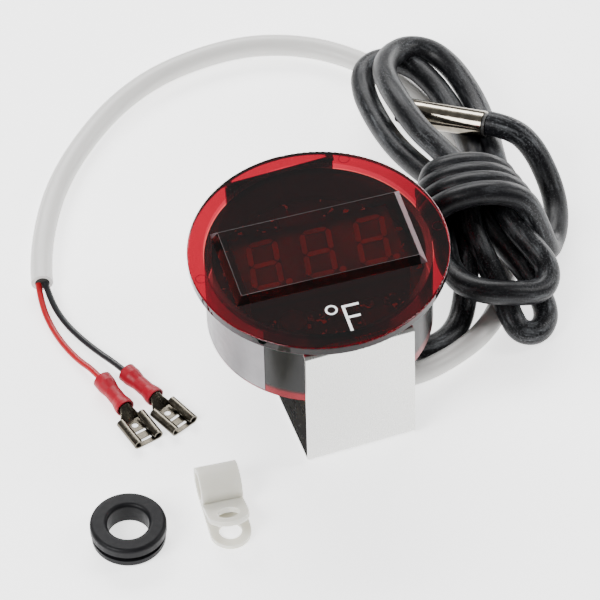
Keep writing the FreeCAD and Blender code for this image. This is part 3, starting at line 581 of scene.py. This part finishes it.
DEGREE_CENTRE = (-2.45, -18.65)
DEGREE_RING = (0.95, 1.45)
LETTER_CORNER = (0.0, -18.1)
LETTER_WIDTH, LETTER_HEIGHT, LETTER_STROKE = 4.0, 7.8, 0.68
ARM_DROP, ARM_WIDTH = 3.4, 3.5
left, top = LETTER_CORNER
right_of_stem = left + LETTER_STROKE
letter = [box_outline(left, right_of_stem, top, LETTER_HEIGHT),
          box_outline(right_of_stem, left + LETTER_WIDTH, top, LETTER_STROKE),
          box_outline(right_of_stem, left + ARM_WIDTH, top - ARM_DROP, LETTER_STROKE)]
white_ink = Finish("white_ink", Roughness=0.5)
white_ink.tones(900.0, (0.80, 0.80, 0.80), (0.90, 0.90, 0.90))
flat_piece("unit_mark", ring_outlines(DEGREE_CENTRE, *DEGREE_RING) + letter,
           FACE_TOP + PRINT_LIFT, white_ink)

PIN_RING = (1.18, 1.3)
PIN_SPOTS = {"pin_mark_left": (-28.0, -1.0), "pin_mark_back": (13.3, 24.6),
             "pin_mark_right": (27.9, -1.5)}
pin_witness = Finish("pin_witness", Roughness=0.6, IOR=1.1)
pin_witness.tones(900.0, (0.030, 0.002, 0.004), (0.050, 0.003, 0.006))
for name, spot in PIN_SPOTS.items():
    flat_piece(name, ring_outlines(spot, *PIN_RING), FACE_TOP + PRINT_LIFT, pin_witness)
print("print and pin marks are on the face")

# %% Painted highlight along the window's edge
EDGE_ROUND = 0.07 * MM
WINDOW_CROWN = (21.0 * MM, 9.9 * MM)
# painted highlight: an opaque grey tube along the window's top edge stands for the glint on its edge
painted_edge_glint = Finish("painted_edge_highlight", Roughness=0.4)
painted_edge_glint.tones(300.0, (0.035, 0.025, 0.025), (0.060, 0.045, 0.045))
reach_x, reach_y = WINDOW_CROWN
edge_curve = bpy.data.curves.new("window_edge_highlight", "CURVE")
edge_curve.dimensions = "3D"
edge_curve.bevel_depth = EDGE_ROUND
edge_curve.bevel_resolution = 3
edge_line = edge_curve.splines.new("POLY")
edge_line.points.add(3)
edge_line.use_cyclic_u = True
crown_corners = [(-reach_x, -reach_y), (reach_x, -reach_y), (reach_x, reach_y),
                 (-reach_x, reach_y)]
for point, (x, y) in zip(edge_line.points, crown_corners):
    point.co = (x, y, WINDOW_TOP - EDGE_ROUND * 0.6, 1.0)
edge_curve.materials.append(painted_edge_glint.material)
edge_glint_line = bpy.data.objects.new("window_edge_highlight", edge_curve)
bpy.context.scene.collection.objects.link(edge_glint_line)
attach(edge_glint_line, "head")
print("a rounded edge runs round the window")

# %% [markdown]
# ## Inside the head
# Everything inside is seen through the red wall, which takes away nearly all colour but red. So the
# finishes need strong differences of tone: a black display module with dull resin segments, a dark
# board with bare spots of copper and tinned joints, and a few parts that catch the light. The
# segments and the copper spots get a very weak painted glow, which stands for the daylight they
# scatter back, because stronger lamps would light the whole wall.

# %% Finishes inside the head
module_black = Finish("module_black")
module_black.tones(900.0, (0.004, 0.004, 0.005), (0.010, 0.009, 0.010))
module_black.sheen(400.0, 0.35, 0.5)
dress("display_body", module_black)

# painted light: a weak red glow stands for the daylight that the segments scatter back
segment_resin = Finish("segment_resin", Emission_Strength=0.035)
segment_resin.tones(1200.0, (0.16, 0.03, 0.03), (0.20, 0.04, 0.04))
segment_resin.sheen(800.0, 0.3, 0.45)
segment_resin.set("Emission Color", (0.60, 0.035, 0.035))
dress("display_segments", segment_resin)

board_mask_painted_glints = Finish("board_mask_painted_glints", Emission_Strength=0.05)
copper_and_painted_glint = board_mask_painted_glints.span(board_mask_painted_glints.noise(420.0, 3.0), 0.60, 0.63)
board_mask_painted_glints.set("Base Color", board_mask_painted_glints.mix(copper_and_painted_glint, (0.010, 0.030, 0.014), (0.75, 0.40, 0.20)))
board_mask_painted_glints.sheen(600.0, 0.3, 0.45)
board_mask_painted_glints.bump(copper_and_painted_glint, 0.00004, 0.5)
# painted glints: the copper spots glow faintly red
board_mask_painted_glints.set("Emission Color", board_mask_painted_glints.mix(copper_and_painted_glint, (0.02, 0.0, 0.0), (0.60, 0.03, 0.04)))
dress("circuit_board", board_mask_painted_glints)

chip_resin = Finish("chip_resin")
chip_resin.tones(1500.0, (0.010, 0.010, 0.011), (0.024, 0.023, 0.024))
chip_resin.sheen(1500.0, 0.45, 0.65)
for node in ("microcontroller", "voltage_regulator"):
    dress(node, chip_resin)

resistor_body = Finish("resistor_body")
resistor_end = resistor_body.span(resistor_body.noise(700.0, 1.0), 0.45, 0.55)
resistor_body.set("Base Color", resistor_body.mix(resistor_end, (0.05, 0.05, 0.055),
                                                  (0.20, 0.19, 0.17)))
resistor_body.set("Roughness", resistor_body.span(resistor_end, 0.0, 1.0, 0.6, 0.35))
dress("chip_resistors", resistor_body)
print("display and board are finished")


# %% Bare metal inside
def metal(name, dark, light, rough, brushed=(1.0, 1.0, 1.0), grain=500.0):
    """A bare metal: two close tones, and a grain that can be drawn out along an axis."""
    finish = Finish(name, Metallic=1.0)
    lines = finish.noise(grain, 5.0, 0.6, finish.stretched(brushed))
    finish.set("Base Color", finish.mix(lines, dark, light))
    finish.set("Roughness", finish.span(lines, 0.3, 0.7, rough * 0.8, rough * 1.3))
    finish.bump(lines, 0.00002, 0.3)
    return finish


tinned = metal("tinned_joints", (0.55, 0.54, 0.50), (0.72, 0.71, 0.68), 0.3)
for node in ("display_pins", "solder_tails"):
    dress(node, tinned)
# painted shade: the capacitor's can gets near-black metal tones, as shade inside the head
dress("filter_capacitor", metal("can_in_painted_shade", (0.012, 0.012, 0.014), (0.025, 0.025, 0.028), 0.5))
dress("threaded_insert", metal("turned_brass", (0.50, 0.34, 0.12), (0.70, 0.52, 0.22), 0.28))
print("joints, can and insert are finished")

# %% [markdown]
# ## Rear cover, glands and label
# The rear cover is a moulded black disc with a fine grain, which a bump gives. The label is a blank
# silver film on the side of the housing. It is only partly metallic, because a full mirror would
# show the dark parts round it instead of the pale film. The glands get the finish of their cords.

# %% Rear finishes
moulded_black = Finish("moulded_black")
moulded_black.tones(300.0, (0.012, 0.012, 0.013), (0.022, 0.021, 0.022))
moulded_black.sheen(900.0, 0.4, 0.55)
moulded_black.bump(moulded_black.noise(2500.0, 2.0), 0.00003, 0.4)
dress("rear_cover", moulded_black)

label_film = Finish("label_film", Metallic=0.4)
label_film.tones(60.0, (0.20, 0.19, 0.20), (0.25, 0.24, 0.25), detail=3.0)
label_film.sheen(500.0, 0.36, 0.5)
dress("side_label", label_film)
print("rear finishes ready")

# %% [markdown]
# ## Bracket, screw and washer
# The bracket is bent from bright sheet. Its outside is satin, so it reads as a pale plane, and its
# inside mirrors the dark head above it. Fine rolling lines run along the strip: a noise that is
# stretched along one axis gives them, where a drawn line pattern would look too even. Just below
# the flange, and on the rear leg behind it, the sheet lies in shade, and a mask by height paints
# that shade into its colour as near-black.

# %% Bracket finishes
sheet_metal = Finish("bright_sheet", Metallic=1.0)
rolled = sheet_metal.noise(260.0, 5.0, 0.6, sheet_metal.stretched((9.0, 1.0, 1.0)))
cloud = sheet_metal.noise(45.0, 3.0)
LIP_SPAN = (36.1 * MM, 36.4 * MM)
REAR_SPAN = (31.0 * MM, 34.0 * MM)
plain_sheet = sheet_metal.mix(cloud, (0.60, 0.60, 0.58), (0.68, 0.68, 0.66))
sheet_top = sheet_metal.along("Z")
rear_half = sheet_metal.span(sheet_metal.along("Y"), 0.0, 1.0 * MM)
# painted shade: the sheet under the flange and the top of the rear leg are darkened to near-black
painted_shade_under_flange = (sheet_metal.span(sheet_top, *LIP_SPAN) * (1.0 - rear_half)
                + sheet_metal.span(sheet_top, *REAR_SPAN) * rear_half)
sheet_metal.set("Base Color", sheet_metal.mix(painted_shade_under_flange, plain_sheet, (0.02, 0.02, 0.02)))
sheet_metal.set("Roughness", sheet_metal.span(rolled, 0.3, 0.7, 0.27, 0.285))
dress("mounting_bracket", sheet_metal)
plated = metal("zinc_plate", (0.58, 0.58, 0.57), (0.70, 0.70, 0.72), 0.28)
for node in ("clamp_screw", "retaining_washer"):
    dress(node, plated)
print("bracket finishes ready")

# %% [markdown]
# ## Cord and wire finishes
# The white jacket is smooth vinyl with hardly any mark on it. The probe cord is black rubber that
# has been coiled and handled: pale dust sits in streaks, so its colour and its gloss both change.
# The streaks run along the cord. Object coordinates would cut across its bends, so they come from
# the curve's own UV, which is stretched along the run.

# %% Cord finishes
white_vinyl = Finish("white_vinyl", IOR=1.46)
white_vinyl.tones(80.0, (0.56, 0.55, 0.53), (0.61, 0.60, 0.58), detail=3.0)
white_vinyl.sheen(500.0, 0.34, 0.44)
supply_lead.data.materials.append(white_vinyl.material)
# painted shade: near-black tones for the shaded mouth of the jacket
filler_in_painted_shade = Finish("filler_in_painted_shade", Roughness=0.8, IOR=1.2)
filler_in_painted_shade.tones(1500.0, (0.010, 0.010, 0.010), (0.060, 0.058, 0.055))
jacket_core.data.materials.append(filler_in_painted_shade.material)
dress("power_gland", white_vinyl)
print("white jacket ready")

# %% Probe cord finish
RUBBER_RUN = (120.0, 16.0, 1.0)
SPECK_RUN = (1400.0, 34.0, 1.0)
dusty_rubber = Finish("dusty_rubber", IOR=1.28)
along_cord = dusty_rubber.node("ShaderNodeTexCoord", {}, {}, "UV")
run = dusty_rubber.stretched(RUBBER_RUN, along_cord)
speck_run = dusty_rubber.stretched(SPECK_RUN, along_cord)
handled = dusty_rubber.span(dusty_rubber.noise(60.0, 2.0), 0.42, 0.66)
streaks = dusty_rubber.span(dusty_rubber.noise(1.0, 3.0, 0.6, run), 0.46, 0.74)
specks = dusty_rubber.span(dusty_rubber.noise(1.0, 6.0, 0.75, speck_run), 0.50, 0.72)
dust = (streaks * 0.45 + specks * 0.6) * (handled * 0.8 + 0.2)
dusty_rubber.set("Base Color", dusty_rubber.mix(dust, (0.003, 0.003, 0.004),
                                                (0.18, 0.19, 0.20)))
dusty_rubber.set("Roughness", dusty_rubber.span(streaks, 0.0, 1.0, 0.36, 0.6))
dusty_rubber.bump(specks, 0.00003, 0.5)
probe_cord.data.materials.append(dusty_rubber.material)
dress("probe_gland", dusty_rubber)
print("dusty rubber ready")

# %% Wire finishes
wire_colours = {"red": ((0.30, 0.004, 0.008), (0.36, 0.006, 0.012)),
                "black": ((0.008, 0.008, 0.009), (0.018, 0.018, 0.020))}
for colour, (deep, pale) in wire_colours.items():
    vinyl = Finish(f"{colour}_wire_vinyl", Roughness=0.32, IOR=1.34)
    vinyl.tones(400.0, deep, pale)
    wires[colour].data.materials.append(vinyl.material)
print("wire finishes ready")

# %% [markdown]
# ## Terminals
# Each wire ends in a push-on terminal: tinned brass with rolled sides, and a red vinyl sleeve
# over its crimp. The tin's tones are set far below those of new plate, so the light picks out only
# its rolled edges.

# %% Terminal finishes
tin_plate = metal("dark_tin_plate", (0.055, 0.048, 0.038), (0.15, 0.135, 0.105), 0.24)
red_vinyl = Finish("red_sleeve_vinyl", IOR=1.3)
red_vinyl.tones(350.0, (0.24, 0.003, 0.012), (0.32, 0.005, 0.018))
red_vinyl.sheen(600.0, 0.36, 0.48)
for colour in wire_colours:
    dress(f"{colour}_wire_receptacle", tin_plate)
    dress(f"{colour}_wire_sleeve", red_vinyl)
print("terminal finishes ready")

# %% [markdown]
# ## Probe tip
# The tip is a drawn metal capsule, closed with black potting. It is polished, so almost all that it
# shows is the room: two close metal tones and a low roughness are enough. The potting is poured
# by hand, and a coarse bump gives its uneven surface.

# %% Probe tip finishes
polished = metal("polished_capsule", (0.13, 0.112, 0.085), (0.40, 0.36, 0.29), 0.12)
potting = Finish("black_potting")
potting.tones(800.0, (0.010, 0.010, 0.010), (0.045, 0.043, 0.040))
potting.sheen(900.0, 0.35, 0.7)
potting.bump(potting.noise(1200.0, 5.0), 0.00012, 0.7)
dress("sensor_capsule", polished)
for node in ("sensor_seal", "thermistor_bead"):
    dress(node, potting)
print("probe tip finishes ready")

# %% [markdown]
# ## Grommet and cable clip
# The grommet is moulded rubber with a slight sheen. A low index of refraction keeps its highlights
# soft. The clip is natural nylon: milky, so light that goes in comes out again some way off. A
# plain pale colour would look like chalk, and subsurface scattering gives the real softness.

# %% Loose fitting finishes
grommet_rubber = Finish("grommet_rubber", IOR=1.22)
grommet_rubber.tones(500.0, (0.004, 0.004, 0.005), (0.009, 0.009, 0.010))
grommet_rubber.sheen(700.0, 0.38, 0.5)
grommet_rubber.bump(grommet_rubber.noise(1800.0, 3.0), 0.00003, 0.4)
dress("panel_grommet", grommet_rubber)

nylon = Finish("natural_nylon", Subsurface_Weight=0.8, Subsurface_Scale=0.002, IOR=1.45)
nylon.set("Subsurface Radius", (1.0, 0.96, 0.86))
nylon.tones(150.0, (0.60, 0.59, 0.53), (0.66, 0.65, 0.60))
nylon.sheen(600.0, 0.35, 0.5)
dress("cable_clip", nylon)
print("loose fitting finishes ready")
